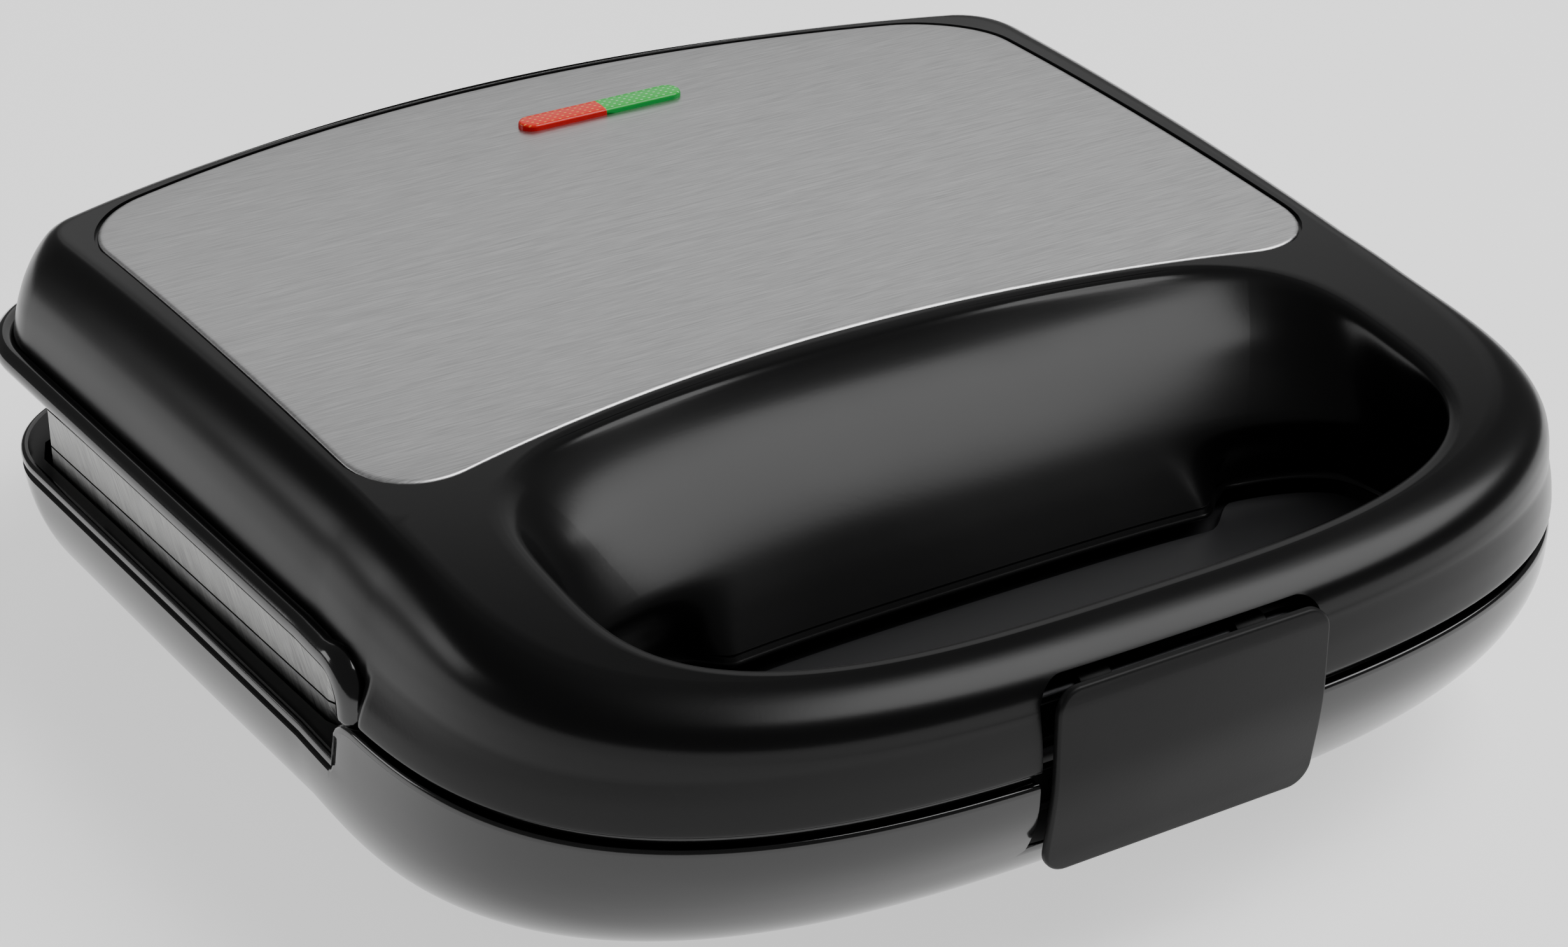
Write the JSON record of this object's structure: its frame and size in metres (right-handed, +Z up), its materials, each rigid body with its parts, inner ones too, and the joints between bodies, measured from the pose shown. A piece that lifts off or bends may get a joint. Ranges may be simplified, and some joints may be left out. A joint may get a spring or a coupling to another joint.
{
  "type": "sandwich toaster",
  "caption": "Closed countertop sandwich toaster with a hinged lid, a front handle with a finger recess, a drop latch, indicator lens, diagonal sandwich plates and rubber feet.",
  "frame": {"origin": "middle of the footprint, on the plane the feet stand on", "axes": "+X to the right seen from the handle, +Y to the rear, towards the hinge, +Z up"},
  "size_m": [0.234, 0.2488, 0.0724],
  "materials": {
    "shell_black": "polished, mirror-like",
    "trim_steel": "brushed from side to side",
    "lens_red": "clear tinted, knurled under the face",
    "lens_green": "clear tinted, knurled under the face",
    "holder_ivory": "satin",
    "lamp_glass": "clear",
    "plate_aluminium": "machined edge, dark non-stick coat on the cooking face",
    "element_sheath": "oxidised",
    "reflector_metal": "pressed sheet",
    "thermostat_brown": "moulded resin",
    "fuse_white": "glazed",
    "block_ivory": "satin",
    "bush_rubber": "matt",
    "pin_steel": "drawn",
    "latch_black": "fine matt",
    "foot_rubber": "matt",
    "screw_steel": "zinc plated"
  },
  "bodies": {
    "base": {"lower_housing": "shell_black", "lower_cooking_plate": "plate_aluminium", "lower_heating_element": "element_sheath", "lower_reflector": "reflector_metal", "thermostat": "thermostat_brown", "thermal_fuse": "fuse_white", "terminal_block": "block_ivory", "cord_bush": "bush_rubber", "left_hinge_pin": "pin_steel", "right_hinge_pin": "pin_steel", "front_left_foot": "foot_rubber", "front_right_foot": "foot_rubber", "rear_left_foot": "foot_rubber", "rear_right_foot": "foot_rubber", "lower_plate_screws": "screw_steel"},
    "lid": {"upper_housing": "shell_black", "top_trim_plate": "trim_steel", "power_lens": "lens_red", "ready_lens": "lens_green", "lamp_holder": "holder_ivory", "power_lamp": "lamp_glass", "ready_lamp": "lamp_glass", "upper_cooking_plate": "plate_aluminium", "upper_heating_element": "element_sheath", "upper_reflector": "reflector_metal", "latch_pin": "pin_steel", "upper_plate_screws": "screw_steel"},
    "latch": {"latch": "latch_black"}
  },
  "joints": [
    {"name": "lid_hinge", "type": "hinge", "parent": "base", "child": "lid", "pos_m": [0, 0.1194, 0.0395], "axis": [-1, 0, 0], "range_deg": [0, 100]},
    {"name": "latch_pivot", "type": "hinge", "parent": "lid", "child": "latch", "pos_m": [0, -0.1156, 0.0546], "axis": [-1, 0, 0], "range_deg": [0, 50]}
  ]
}
